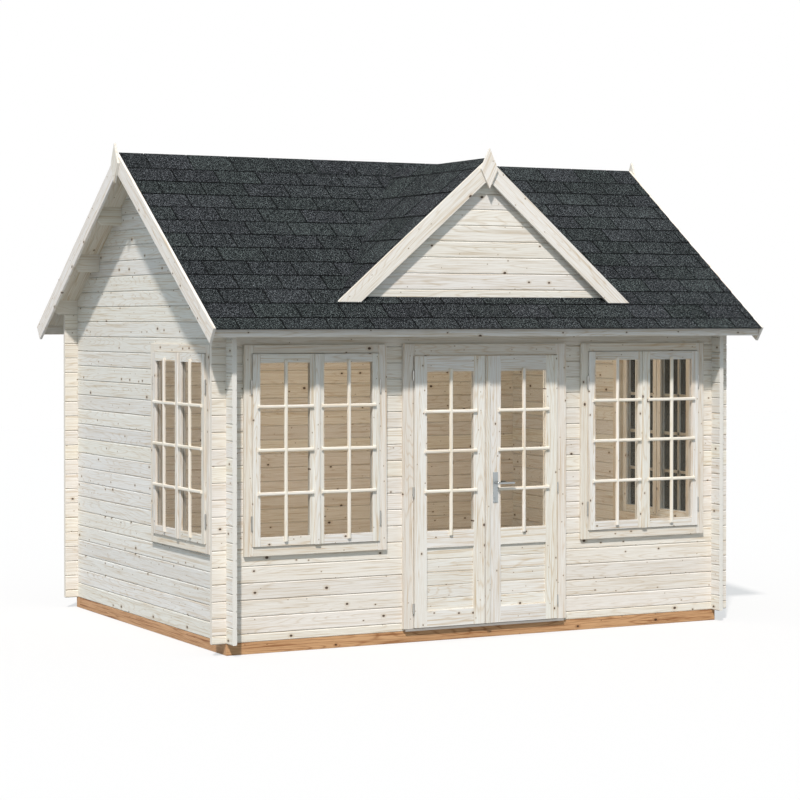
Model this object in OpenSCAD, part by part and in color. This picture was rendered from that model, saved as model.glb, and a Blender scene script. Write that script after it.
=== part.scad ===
// Log cabin with a double door, four casement windows and a decorative dormer.
// The front faces -Y, the gables face -X and +X, and z = 0 is the ground under the foundation beams.

/* [Walls] */
// Depth of the cabin over the outer faces of its front and rear walls
wall_d = 2975; // [2700:5:3300]
// Thickness of a log
log_t = 34; // [28:1:44]
// Height of one course of logs
log_h = 114; // [108:1:118]
// Chamfer along the edges of a log
log_chamfer = 6; // [2:0.5:8]
// How far the log ends stand out past the crossing wall
log_end = 104; // [60:1:140]
// Height of the roof's underside above ground at the outer face of the front wall
eaves_h = 2390; // [2300:1:2480]

/* [Foundation and floor] */
// Height of the foundation beams
beam_h = 80; // [60:1:120]
// Width of the foundation beams
beam_w = 70; // [50:1:100]
// Joists between the two long beams
joists = 5; // [3:1:8]
// Thickness of the floor
floor_t = 19; // [16:1:28]
// Gap between the floor and the walls
floor_gap = 4; // [2:0.5:10]

/* [Frames of the openings] */
// Whole front courses below the windows
sill_courses = 5; // [4:1:7]
// Front courses above the windows and the door
head_courses = 3; // [2:1:4]
// Length of the logs between an end of the front and its window
corner_pier = 138; // [100:1:300]
// Length of the logs between a window and the door
door_pier = 162; // [100:1:400]
// Length of the logs between the front of a gable wall and its window
gable_pier = 249.5; // [150:0.5:600]
// How far the casing boards stand out from the wall
casing_proud = 24; // [16:1:34]
// Lap of the casing boards over the logs
casing_lap = 16; // [10:1:24]
// Depth of the rebate that takes a sash or a door leaf
rebate_d = 31; // [28:1:36]
// Width of the stop behind a sash or a door leaf
stop_w = 12; // [8:1:18]
// Depth of the grooves that hold glass and panels
groove_d = 8; // [5:1:12]
// Thickness of the glass
glass_t = 4; // [3:0.5:6]

/* [Windows] */
// Width of a window opening in the logs
window_w = 1050; // [800:5:1250]
// Thickness of the frame lining at the sides and the head
window_core = 42; // [30:1:50]
// Thickness of the frame lining at the sill
sill_core = 17; // [12:1:30]
// Lap of the bottom casing board below the opening
sill_lap = 45; // [20:1:70]
// Thickness of a sash
sash_t = 42; // [36:1:43]
// Gap around a sash, and half the gap between two sashes
sash_gap = 2.5; // [1.5:0.5:4]
// Width of the sash stiles beside the frame
sash_stile = 55; // [40:1:70]
// Width of the sash stiles at the middle of the window
sash_meeting = 50; // [40:1:60]
// Height of the sash rails
sash_rail = 62; // [45:1:80]
// Width of the strip that covers the joint between two sashes
sash_strip_w = 38; // [24:1:48]

/* [Door] */
// Width of the door opening in the logs
door_w = 1300; // [1150:5:1500]
// Thickness of the door frame lining
door_core = 63; // [45:1:75]
// Height of the threshold
threshold_h = 18; // [12:1:19]
// Thickness of a door leaf
leaf_t = 42; // [36:1:43]
// Gap around a door leaf
leaf_gap = 5; // [5:0.5:7]
// Gap between the two leaves
meeting_gap = 8; // [8:0.5:10]
// Width of a leaf's stile on the hinge side
hinge_stile = 95; // [80:1:120]
// Width that shows of the stiles where the leaves meet
lock_stile = 89; // [70:1:110]
// Height of the bottom rail of a leaf
bottom_rail = 114; // [90:1:140]
// Height of the panel between the bottom rail and the lock rail
panel_h = 443; // [300:1:520]
// Height of the lock rail
lock_rail = 116; // [80:1:140]
// Height of the top rail
top_rail = 109; // [80:1:140]
// Thickness of the lower panel
panel_t = 16; // [12:1:20]
// Width of the strip that covers the joint between the leaves
door_strip_w = 34; // [26:1:44]
// Thickness of the cover strips
strip_t = 10; // [6:1:14]

/* [Hinges and handle] */
// Diameter of a hinge barrel
barrel_d = 14; // [12:0.5:18]
// Length of a hinge barrel
barrel_l = 70; // [50:1:100]
// Diameter of the hinge pin
pin_d = 8; // [6:0.5:8]
// Diameter of the studs that fix a hinge in the wood
stud_d = 7; // [5:0.5:8]
// Depth of the studs in the wood
stud_depth = 25; // [15:1:32]
// Distance of the outer hinges from the ends of a leaf
hinge_inset = 135; // [90:1:200]
// Width of a handle plate
plate_w = 39; // [30:1:46]
// Height of a handle plate
plate_h = 216; // [160:1:260]
// Thickness of a handle plate
plate_t = 4; // [3:0.5:6]
// Height of the middle of a handle plate above the ground
plate_z = 1069; // [1000:1:1140]
// Height of the lever above the middle of its plate
lever_rise = 31; // [10:1:50]
// Length of a lever from its turning axis to its tip
lever_l = 137; // [100:1:150]
// Diameter of a lever
lever_d = 16; // [12:0.5:18]
// Distance of a lever's middle from the face of the leaf
lever_out = 46; // [36:1:54]
// Diameter of the spindle that joins the two levers
spindle_d = 10; // [8:0.5:11]

/* [Roof] */
// Pitch of the main roof in degrees
roof_pitch = 35.25; // [32:0.25:38]
// Thickness of the roof boards
board_t = 19; // [16:1:24]
// Thickness of the shingle covering
cover_t = 6; // [4:0.5:9]
// Overhang of the roof past the gable walls
gable_over = 200; // [150:5:260]
// Overhang of the roof past the front and rear walls, out to the eaves boards
eaves_over = 265; // [200:5:340]
// Drip of the covering past the eaves boards
drip = 40; // [20:1:60]
// Height of the eaves boards
fascia_h = 80; // [60:1:110]
// Thickness of the eaves boards and bargeboards
trim_t = 20; // [16:1:25]
// Width of the bargeboards, square to the slope
barge_w = 119; // [100:1:140]
// Width of the purlins
purlin_w = 44; // [34:1:58]
// Height of the purlins
purlin_h = 120; // [90:1:140]
// Distance of the upper purlins from the ridge
purlin_upper = 500; // [450:5:560]
// Distance of the lower purlins from the ridge
purlin_lower = 980; // [900:5:1040]
// Bevel under the ends of the purlins and the top logs
end_bevel = 45; // [20:1:70]

/* [Dormer] */
// Pitch of the dormer roof in degrees
dormer_pitch = 40.7; // [38:0.1:44]
// Drop of the dormer ridge below the main ridge
dormer_drop = 62; // [40:1:120]
// Overhang of the dormer roof past its boarded gable
dormer_over = 35; // [20:1:60]
// Thickness of the boarded gable of the dormer
dormer_wall_t = 18; // [14:1:24]

/* [Finials] */
// Width of a finial
finial_w = 140; // [100:1:170]
// Height of a finial's tip above the ridge
finial_up = 70; // [40:1:90]
// Depth of a finial's widest place below the ridge
finial_mid = 80; // [60:1:110]
// Depth of a finial's lower tip below the ridge
finial_down = 220; // [180:1:260]
// Thickness of a finial
finial_t = 18; // [14:1:22]

/* [Fits] */
// Gap at the joints of the woodwork
fit = 0.3; // [0.2:0.05:0.5]
// Gap around hinge pins, studs and the spindle, on the radius
pin_fit = 0.08; // [0.04:0.01:0.1]
// Gap between a hinge barrel and the edge of its leaf
barrel_gap = 1; // [0.5:0.1:1.5]

/* [Hidden] */
$fn = 48;
wood = [0.93, 0.90, 0.84];
gable_wood = [0.86, 0.85, 0.81];
trim_wood = [0.90, 0.87, 0.81];
leaf_wood = [0.95, 0.92, 0.86];
treated_wood = [0.78, 0.60, 0.42];
floor_wood = [0.72, 0.60, 0.46];
shingle = [0.19, 0.20, 0.22];
pane = [0.62, 0.70, 0.74, 0.4];
steel = [0.63, 0.66, 0.68];
grey_metal = [0.55, 0.56, 0.57];

// The front is as long as its door, its windows and the logs between them
wall_l = door_w + 2 * (door_pier + window_w + corner_pier);
half_l = wall_l / 2;
half_d = wall_d / 2;
window_x = door_w / 2 + door_pier + window_w / 2;
window_y = half_d - gable_pier - window_w / 2;
reach = wall_l + wall_d;
cut = 1;

// Heights of the log courses: the gable walls start with a whole log, the front and rear with half a log
function side_z(k) = beam_h + k * log_h;
function front_z(k) = k == 0 ? beam_h : beam_h + log_h / 2 + (k - 1) * log_h;
top_course = round((eaves_h - front_z(1)) / log_h);
sill_z = front_z(1) + sill_courses * log_h;
head_z = front_z(top_course) - (head_courses - 1) * log_h;

// Heights of the main roof's surfaces over a distance y from the ridge
function under_z(y) = eaves_h + (half_d - abs(y)) * tan(roof_pitch);
function deck_z(y) = under_z(y) + board_t / cos(roof_pitch);
function cover_z(y) = deck_z(y) + cover_t / cos(roof_pitch);
least_rise = (purlin_w / 2 + log_chamfer * 4) * tan(roof_pitch);
gable_courses = ceil((under_z(0) - least_rise - side_z(top_course)) / log_h);
roof_x = half_l + gable_over;
eaves_y = half_d + eaves_over;
purlin_ys = [-purlin_lower, -purlin_upper, 0, purlin_upper, purlin_lower];

// Heights of the dormer roof's surfaces over a distance x from its ridge
function dormer_cover_z(x) = cover_z(0) - dormer_drop - abs(x) * tan(dormer_pitch);
function dormer_deck_z(x) = dormer_cover_z(x) - cover_t / cos(dormer_pitch);
function dormer_under_z(x) = dormer_deck_z(x) - board_t / cos(dormer_pitch);
dormer_y = half_d + dormer_over;

// Sashes and leaves, measured from the outer face of the wall they stand in
window_clear = window_w / 2 - window_core;
sash_x = window_clear - sash_gap;
sash_z = [sill_z + sill_core + sash_gap, head_z - window_core - sash_gap];
sash_back = rebate_d - casing_proud - fit;
sash_y = [sash_back - sash_t, sash_back];
sash_rails = [[sash_z[0], sash_z[0] + sash_rail], [sash_z[1] - sash_rail, sash_z[1]]];
door_clear = door_w / 2 - door_core;
leaf_x = door_clear - leaf_gap;
leaf_z = [beam_h + threshold_h + leaf_gap, head_z - door_core - leaf_gap];
leaf_back = rebate_d - casing_proud - leaf_gap;
leaf_y = [leaf_back - leaf_t, leaf_back];
strip_x = [(meeting_gap - door_strip_w) / 2, (meeting_gap + door_strip_w) / 2];
left_leaf_x = [-leaf_x, strip_x[0] - meeting_gap];
right_leaf_x = [strip_x[0], leaf_x];
lock_rail_z = leaf_z[0] + bottom_rail + panel_h;
leaf_rails = [
    [leaf_z[0], leaf_z[0] + bottom_rail],
    [lock_rail_z, lock_rail_z + lock_rail],
    [leaf_z[1] - top_rail, leaf_z[1]]
];
left_stiles = [hinge_stile, lock_stile];
right_stiles = [door_strip_w + lock_stile, hinge_stile];

// Hinges stand in the corner between the leaf's edge and the casing
hinge_x = leaf_x + barrel_d / 2 + barrel_gap;
hinge_y = -casing_proud - barrel_d / 2 - fit;
hinge_zs = [leaf_z[0] + hinge_inset, (leaf_z[0] + leaf_z[1]) / 2, leaf_z[1] - hinge_inset];
frame_stud_x = hinge_x + barrel_d / 4;
knuckle_l = (barrel_l - fit) / 2;
pin_l = knuckle_l * 3 / 4;
plate_x = strip_x[1] + lock_stile / 2;
lever_z = plate_z + lever_rise;

// A box given by its lowest and highest value on each axis
module block(x, y, z) {
    translate([x[0], y[0], z[0]]) cube([x[1] - x[0], y[1] - y[0], z[1] - z[0]]);
}

// An outline in y and z, extruded along x
module along_x(x) {
    translate([x[0], 0, 0]) rotate([90, 0, 90]) linear_extrude(x[1] - x[0]) children();
}

// An outline in x and z, extruded along y
module along_y(y) {
    translate([0, y[1], 0]) rotate([90, 0, 0]) linear_extrude(y[1] - y[0]) children();
}

// Places for what stands in a wall: x runs along the wall, and y = 0 is its outer face with -y outside
module on_front(x) {
    translate([x, -half_d, 0]) children();
}

module on_left() {
    translate([-half_l, -window_y, 0]) rotate([0, 0, -90]) children();
}

module on_right() {
    translate([half_l, -window_y, 0]) rotate([0, 0, 90]) children();
}

// Space above the underside of the roof boards
module above_walls() {
    along_x([-reach, reach]) polygon([
        [-reach, under_z(reach) - fit], [0, under_z(0) - fit], [reach, under_z(reach) - fit],
        [reach, reach], [-reach, reach]
    ]);
}

// Space below the top of the main covering
module below_covering() {
    along_x([-reach, reach]) polygon([
        [-reach, -reach], [reach, -reach],
        [reach, cover_z(reach) + fit], [0, cover_z(0) + fit], [-reach, cover_z(reach) + fit]
    ]);
}

// Cross-section of a log of height h, with its lower edge at z = 0
module log_section(h) {
    t = log_t / 2;
    c = log_chamfer;
    polygon([[-t + c, 0], [t - c, 0], [t, c], [t, h - c], [t - c, h], [-t + c, h], [-t, h - c], [-t, c]]);
}

// Notches of a log where it crosses logs whose middles lie at +at and -at along it
module notches(at, z, up, down, lying) {
    w = log_t / 2 + fit;
    depth = log_h / 4;
    for (s = [-at, at]) {
        along = [s - w, s + w];
        x = lying ? along : [-reach, reach];
        y = lying ? [-reach, reach] : along;
        if (up) block(x, y, [z + log_h - depth - fit, z + log_h + cut]);
        if (down) block(x, y, [z - cut, z + depth]);
    }
}

// Logs of the front or rear wall, whose middle is at y; the top logs reach out to the bargeboards
module long_wall_logs(y) {
    for (k = [0 : top_course]) {
        top = k == top_course;
        h = k == 0 ? log_h / 2 : top ? log_h * 2 : log_h;
        x = top ? roof_x - fit : half_l + log_end;
        shift = k == 0 ? log_h / 2 : 0;
        difference() {
            along_x([-x, x]) translate([y, front_z(k)]) log_section(h - fit);
            notches(half_l - log_t / 2, front_z(k) - shift, !top, k > 0, true);
            if (top) above_walls();
            if (top) bevelled_ends(front_z(k));
        }
    }
}

// Logs of the gable wall whose middle is at x, up to the height of the eaves
module gable_wall_logs(x) {
    y = half_d + log_end;
    for (k = [0 : top_course - 1]) difference() {
        along_y([-y, y]) translate([x, side_z(k)]) log_section(log_h - fit);
        notches(half_d - log_t / 2, side_z(k), true, true, false);
        above_walls();
    }
}

// Logs of the triangle between the eaves and the ridge, cut to the slopes and around the purlins
module gable_logs(x) {
    y = half_d - log_t - fit;
    for (k = [top_course : top_course + gable_courses - 1]) difference() {
        along_y([-y, y]) translate([x, side_z(k)]) log_section(log_h - fit);
        above_walls();
        purlin_pockets();
    }
}

module purlin_pockets() {
    for (y = purlin_ys) {
        w = purlin_w / 2 + fit;
        block([-reach, reach], [y - w, y + w], [under_z(y) - purlin_h - fit, reach]);
    }
}

// Wedges that bevel the lower corners of timbers that end at the bargeboards
module bevelled_ends(z) {
    x = roof_x - fit;
    for (s = [-1, 1]) along_y([-reach, reach])
        polygon([[s * (x - end_bevel), z - cut], [s * (x + cut), z - cut], [s * (x + cut), z + end_bevel]]);
}

// Openings in the logs for the windows and the door
module window_opening() {
    block([-window_w / 2, window_w / 2], [-log_t, log_t * 2], [sill_z - fit / 2, head_z - fit / 2]);
}

module door_opening() {
    block([-door_w / 2, door_w / 2], [-log_t, log_t * 2], [beam_h - cut, head_z - fit / 2]);
}

// Frame that lines an opening and grips the log ends between its casing boards.
// half is half the opening's width, z its heights, core the lining, foot and foot_lap its sill.
module opening_frame(half, z, core, foot, foot_lap, foot_stop) {
    deep = [-casing_proud, log_t + casing_proud];
    clear = half - core;
    through = clear - stop_w;
    lap = [-half - casing_lap, half + casing_lap];
    lap_z = [z[0] - foot_lap, z[1] + casing_lap];
    difference() {
        union() {
            block([-half + fit, half - fit], deep, [z[0], z[1] - fit]);
            block(lap, [deep[0], -fit], lap_z);
            block(lap, [log_t + fit, deep[1]], lap_z);
        }
        block([-clear, clear], [deep[0] - cut, deep[0] + rebate_d], [z[0] + foot, z[1] - core]);
        block([-through, through], [deep[0] - cut, deep[1] + cut],
              [z[0] + foot + foot_stop, z[1] - core - stop_w]);
        for (s = [-through, through])
            block([s - fit / 2, s + fit / 2], [deep[0] - cut, deep[1] + cut],
                  [lap_z[0] - cut, lap_z[1] + cut]);
    }
}

// The space between two neighbouring rails that glass or a panel fills, grooves included
module bay(x, y, stiles, rails, i, t, play) {
    mid = (y[0] + y[1]) / 2;
    in = groove_d + play;
    block([x[0] + stiles[0] - in, x[1] - stiles[1] + in], [mid - t / 2 - play, mid + t / 2 + play],
          [rails[i][1] - in, rails[i + 1][0] + in]);
}

// Stiles and rails of a sash or a door leaf, grooved for what fills its bays
module framed_leaf(x, y, stiles, rails, fillings) {
    ends = [rails[0][0], rails[len(rails) - 1][1]];
    difference() {
        union() {
            block([x[0], x[0] + stiles[0]], y, ends);
            block([x[1] - stiles[1], x[1]], y, ends);
            for (rail = rails) block([x[0] + stiles[0] + fit, x[1] - stiles[1] - fit], y, rail);
        }
        for (i = [0 : len(fillings) - 1]) bay(x, y, stiles, rails, i, fillings[i], fit);
    }
}

module window_frame() {
    color(trim_wood) opening_frame(window_w / 2, [sill_z, head_z], window_core, sill_core, sill_lap, stop_w);
}

// The two sashes of a window, with the cover strip on the right one
module window_sashes() {
    color(leaf_wood) {
        framed_leaf([-sash_x, -sash_gap], sash_y, [sash_stile, sash_meeting], sash_rails, [glass_t]);
        framed_leaf([sash_gap, sash_x], sash_y, [sash_meeting, sash_stile], sash_rails, [glass_t]);
        block([-sash_strip_w / 2, sash_strip_w / 2], [sash_y[0] - strip_t - fit, sash_y[0] - fit], sash_z);
    }
}

module window_panes() {
    color(pane) {
        bay([-sash_x, -sash_gap], sash_y, [sash_stile, sash_meeting], sash_rails, 0, glass_t, 0);
        bay([sash_gap, sash_x], sash_y, [sash_meeting, sash_stile], sash_rails, 0, glass_t, 0);
    }
}

// Foundation and floor

module foundation_beams() {
    color(treated_wood) for (s = [-1, 1]) {
        long_y = [half_d - beam_w, half_d];
        short_x = [half_l - beam_w, half_l];
        short_y = half_d - beam_w - fit;
        block([-half_l, half_l], s < 0 ? -[long_y[1], long_y[0]] : long_y, [0, beam_h]);
        block(s < 0 ? -[short_x[1], short_x[0]] : short_x, [-short_y, short_y], [0, beam_h]);
    }
}

module floor_joists() {
    y = half_d - beam_w - fit;
    step = (wall_l - beam_w) / (joists + 1);
    color(treated_wood) for (i = [1 : joists]) {
        x = -half_l + beam_w / 2 + i * step;
        block([x - beam_w / 2, x + beam_w / 2], [-y, y], [0, beam_h]);
    }
}

module floor_boards() {
    x = half_l - log_t - floor_gap;
    y = half_d - log_t - floor_gap;
    frame_x = door_w / 2 + casing_lap + fit;
    frame_y = half_d - log_t - casing_proud - fit;
    color(floor_wood) difference() {
        block([-x, x], [-y, y], [beam_h, beam_h + floor_t]);
        block([-frame_x, frame_x], [-half_d, -frame_y], [beam_h - cut, beam_h + floor_t + cut]);
    }
}

// Log walls

module front_wall() {
    color(wood) difference() {
        long_wall_logs(-half_d + log_t / 2);
        for (x = [-window_x, window_x]) on_front(x) window_opening();
        on_front(0) door_opening();
    }
}

module rear_wall() {
    color(wood) long_wall_logs(half_d - log_t / 2);
}

module left_wall() {
    color(gable_wood) difference() {
        gable_wall_logs(-half_l + log_t / 2);
        on_left() window_opening();
    }
}

module right_wall() {
    color(gable_wood) difference() {
        gable_wall_logs(half_l - log_t / 2);
        on_right() window_opening();
    }
}

module left_gable() {
    color(gable_wood) gable_logs(-half_l + log_t / 2);
}

module right_gable() {
    color(gable_wood) gable_logs(half_l - log_t / 2);
}

// Windows

module front_left_window_frame() {
    on_front(-window_x) window_frame();
}

module front_right_window_frame() {
    on_front(window_x) window_frame();
}

module left_window_frame() {
    on_left() window_frame();
}

module right_window_frame() {
    on_right() window_frame();
}

module front_left_window_sashes() {
    on_front(-window_x) window_sashes();
}

module front_right_window_sashes() {
    on_front(window_x) window_sashes();
}

module left_window_sashes() {
    on_left() window_sashes();
}

module right_window_sashes() {
    on_right() window_sashes();
}

module front_window_glass() {
    for (x = [-window_x, window_x]) on_front(x) window_panes();
}

module gable_window_glass() {
    on_left() window_panes();
    on_right() window_panes();
}

// Door

module door_frame() {
    foot_z = beam_h + threshold_h + fit;
    color(trim_wood) on_front(0) difference() {
        opening_frame(door_w / 2, [foot_z, head_z], door_core, -cut, 0, -cut);
        for (s = [-1, 1], z = hinge_zs) frame_stud(s, z, stud_d / 2 + pin_fit, stud_depth + fit);
    }
}

module door_threshold() {
    x = door_w / 2 - fit;
    color(grey_metal) on_front(0)
        block([-x, x], [-casing_proud, log_t + casing_proud], [beam_h, beam_h + threshold_h]);
}

module left_door_leaf() {
    color(leaf_wood) on_front(0) difference() {
        framed_leaf(left_leaf_x, leaf_y, left_stiles, leaf_rails, [panel_t, glass_t]);
        for (z = hinge_zs) leaf_stud(-1, z, stud_d / 2 + pin_fit, stud_depth + fit);
    }
}

module left_door_panel() {
    color(leaf_wood) on_front(0) bay(left_leaf_x, leaf_y, left_stiles, leaf_rails, 0, panel_t, 0);
}

module left_door_glass() {
    color(pane) on_front(0) bay(left_leaf_x, leaf_y, left_stiles, leaf_rails, 1, glass_t, 0);
}

module right_door_leaf() {
    color(leaf_wood) on_front(0) difference() {
        framed_leaf(right_leaf_x, leaf_y, right_stiles, leaf_rails, [panel_t, glass_t]);
        for (z = hinge_zs) leaf_stud(1, z, stud_d / 2 + pin_fit, stud_depth + fit);
        spindle_bore([leaf_y[0] - cut, leaf_y[1] + cut]);
    }
}

module right_door_panel() {
    color(leaf_wood) on_front(0) bay(right_leaf_x, leaf_y, right_stiles, leaf_rails, 0, panel_t, 0);
}

module right_door_glass() {
    color(pane) on_front(0) bay(right_leaf_x, leaf_y, right_stiles, leaf_rails, 1, glass_t, 0);
}

module door_cover_strip() {
    color(leaf_wood) on_front(0)
        block(strip_x, [leaf_y[0] - strip_t - fit, leaf_y[0] - fit], leaf_z);
}

// Hinges and handle

// Stud from a hinge barrel on the side s straight back into the door frame
module frame_stud(s, z, r, depth) {
    translate([s * frame_stud_x, hinge_y, z - knuckle_l / 2])
        rotate([-90, 0, 0]) cylinder(h = depth - hinge_y - casing_proud, r = r);
}

// Stud from a hinge barrel on the side s into the edge of the leaf
module leaf_stud(s, z, r, depth) {
    out = (pin_d / 2 + barrel_d / 2) / 2;
    translate([s * (hinge_x - out), hinge_y, z + knuckle_l / 2])
        rotate([0, -s * 90, 0]) cylinder(h = hinge_x - out - leaf_x + depth, r = r);
}

// Lower halves of the hinges with their pins, on the frame
module frame_hinges() {
    color(steel) on_front(0) for (s = [-1, 1], z = hinge_zs) {
        translate([s * hinge_x, hinge_y, z - knuckle_l - fit / 2]) {
            cylinder(h = knuckle_l, d = barrel_d);
            cylinder(h = knuckle_l + fit + pin_l, d = pin_d);
        }
        frame_stud(s, z, stud_d / 2, stud_depth);
    }
}

// Upper halves of the hinges of one leaf, bored for the pins
module leaf_hinges(s) {
    color(steel) on_front(0) for (z = hinge_zs) difference() {
        union() {
            translate([s * hinge_x, hinge_y, z + fit / 2]) cylinder(h = knuckle_l, d = barrel_d);
            leaf_stud(s, z, stud_d / 2, stud_depth);
        }
        translate([s * hinge_x, hinge_y, z - fit]) cylinder(h = pin_l + fit * 3, r = pin_d / 2 + pin_fit);
    }
}

module left_leaf_hinges() {
    leaf_hinges(-1);
}

module right_leaf_hinges() {
    leaf_hinges(1);
}

module spindle_bore(y) {
    translate([plate_x, y[0], lever_z])
        rotate([-90, 0, 0]) cylinder(h = y[1] - y[0], r = spindle_d / 2 + pin_fit);
}

// Plates on both faces of the right leaf, bored for the spindle
module handle_plates() {
    x = [plate_x - plate_w / 2, plate_x + plate_w / 2];
    z = [plate_z - plate_h / 2, plate_z + plate_h / 2];
    color(steel) on_front(0) difference() {
        union() {
            block(x, [leaf_y[0] - plate_t - fit, leaf_y[0] - fit], z);
            block(x, [leaf_y[1] + fit, leaf_y[1] + plate_t + fit], z);
        }
        spindle_bore([leaf_y[0] - plate_t * 2, leaf_y[1] + plate_t * 2]);
    }
}

// Both levers on their common spindle, pointing to the hinges
module door_lever() {
    y = [leaf_y[0] - lever_out, leaf_y[1] + lever_out];
    neck = lever_out - plate_t - fit * 2;
    color(steel) on_front(0) translate([plate_x, 0, lever_z]) {
        translate([0, y[0], 0]) rotate([-90, 0, 0]) cylinder(h = y[1] - y[0], d = spindle_d);
        translate([0, y[0], 0]) rotate([-90, 0, 0]) cylinder(h = neck, d = lever_d);
        translate([0, y[1], 0]) rotate([90, 0, 0]) cylinder(h = neck, d = lever_d);
        for (side = y) translate([0, side, 0]) {
            sphere(d = lever_d);
            rotate([0, 90, 0]) cylinder(h = lever_l - lever_d / 2, d = lever_d);
            translate([lever_l - lever_d / 2, 0, 0]) sphere(d = lever_d);
        }
    }
}

// Roof

module purlins() {
    x = roof_x - fit;
    color(trim_wood) for (y = purlin_ys) difference() {
        block([-x, x], [y - purlin_w / 2, y + purlin_w / 2], [under_z(y) - purlin_h, under_z(0)]);
        above_walls();
        bevelled_ends(under_z(y) - purlin_h);
    }
}

// One layer of a main slope between two heights at the ridge, on the side s, out to y at the eaves
module slope_layer(s, low, high, y) {
    fall = y * tan(roof_pitch);
    along_x([-roof_x, roof_x]) polygon([
        [s * fit / 2, low], [s * y, low - fall], [s * y, high - fall], [s * fit / 2, high]
    ]);
}

module roof_boards(s) {
    color(floor_wood) slope_layer(s, under_z(0), deck_z(0) - fit, eaves_y - trim_t - fit);
}

module roof_covering(s) {
    color(shingle) slope_layer(s, deck_z(0), cover_z(0), eaves_y + drip);
}

module front_roof_boards() {
    roof_boards(-1);
}

module rear_roof_boards() {
    roof_boards(1);
}

module front_roof_covering() {
    roof_covering(-1);
}

module rear_roof_covering() {
    roof_covering(1);
}

// Boards along both eaves, bevelled under the covering
module eaves_boards() {
    inner = eaves_y - trim_t;
    color(trim_wood) for (s = [-1, 1]) along_x([-roof_x + fit, roof_x - fit]) polygon([
        [s * eaves_y, deck_z(eaves_y) - fit], [s * eaves_y, deck_z(eaves_y) - fascia_h],
        [s * inner, deck_z(eaves_y) - fascia_h], [s * inner, deck_z(inner) - fit]
    ]);
}

// Bargeboard outline from the ridge down a slope, with its lower end cut square to the slope
module barge_outline(ridge_z, pitch, run) {
    low = [run, ridge_z - run * tan(pitch)];
    polygon([
        [fit / 2, ridge_z], low,
        low - barge_w * [sin(pitch), cos(pitch)], [fit / 2, ridge_z - barge_w / cos(pitch)]
    ]);
}

module gable_bargeboards() {
    color(trim_wood) for (side = [0, 1], slope = [0, 1])
        mirror([side, 0, 0]) mirror([0, slope, 0]) along_x([roof_x + fit, roof_x + fit + trim_t])
            barge_outline(cover_z(0), roof_pitch, eaves_y + drip);
}

// Dormer

// Boarded gable in the plane of the front wall, standing on the main covering
module dormer_gable() {
    low = dormer_under_z(half_l);
    color(gable_wood) difference() {
        along_y([-half_d, -half_d + dormer_wall_t])
            polygon([[-half_l, low], [0, dormer_under_z(0) - fit], [half_l, low]]);
        below_covering();
    }
}

// One layer of both dormer slopes between two heights at its ridge
module dormer_layer(low, high) {
    fall = half_l * tan(dormer_pitch);
    for (side = [0, 1]) mirror([side, 0, 0]) difference() {
        along_y([-dormer_y, 0])
            polygon([[fit / 2, low], [half_l, low - fall], [half_l, high - fall], [fit / 2, high]]);
        below_covering();
    }
}

module dormer_roof_boards() {
    color(floor_wood) dormer_layer(dormer_under_z(0), dormer_deck_z(0) - fit);
}

module dormer_covering() {
    color(shingle) dormer_layer(dormer_deck_z(0), dormer_cover_z(0));
}

module dormer_bargeboards() {
    color(trim_wood) for (side = [0, 1]) mirror([side, 0, 0]) difference() {
        along_y([-dormer_y - fit - trim_t, -dormer_y - fit])
            barge_outline(dormer_cover_z(0), dormer_pitch, half_l);
        below_covering();
    }
}

// Diamond that covers the joint of two bargeboards under a ridge
module finial_outline(ridge_z) {
    polygon([
        [0, ridge_z + finial_up], [finial_w / 2, ridge_z - finial_mid],
        [0, ridge_z - finial_down], [-finial_w / 2, ridge_z - finial_mid]
    ]);
}

module finials() {
    gable_face = roof_x + trim_t + fit * 2;
    dormer_face = -dormer_y - trim_t - fit * 2;
    color(trim_wood) {
        for (side = [0, 1]) mirror([side, 0, 0])
            along_x([gable_face, gable_face + finial_t]) finial_outline(cover_z(0));
        along_y([dormer_face - finial_t, dormer_face]) finial_outline(dormer_cover_z(0));
    }
}

foundation_beams();
floor_joists();
floor_boards();
front_wall();
rear_wall();
left_wall();
right_wall();
left_gable();
right_gable();
front_left_window_frame();
front_right_window_frame();
left_window_frame();
right_window_frame();
front_left_window_sashes();
front_right_window_sashes();
left_window_sashes();
right_window_sashes();
front_window_glass();
gable_window_glass();
door_frame();
door_threshold();
left_door_leaf();
left_door_panel();
left_door_glass();
right_door_leaf();
right_door_panel();
right_door_glass();
door_cover_strip();
frame_hinges();
left_leaf_hinges();
right_leaf_hinges();
handle_plates();
door_lever();
purlins();
front_roof_boards();
rear_roof_boards();
front_roof_covering();
rear_roof_covering();
eaves_boards();
gable_bargeboards();
dormer_gable();
dormer_roof_boards();
dormer_covering();
dormer_bargeboards();
finials();
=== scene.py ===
import contextlib
import itertools
import math
import random

import bpy
from mathutils import Matrix, Vector


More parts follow.
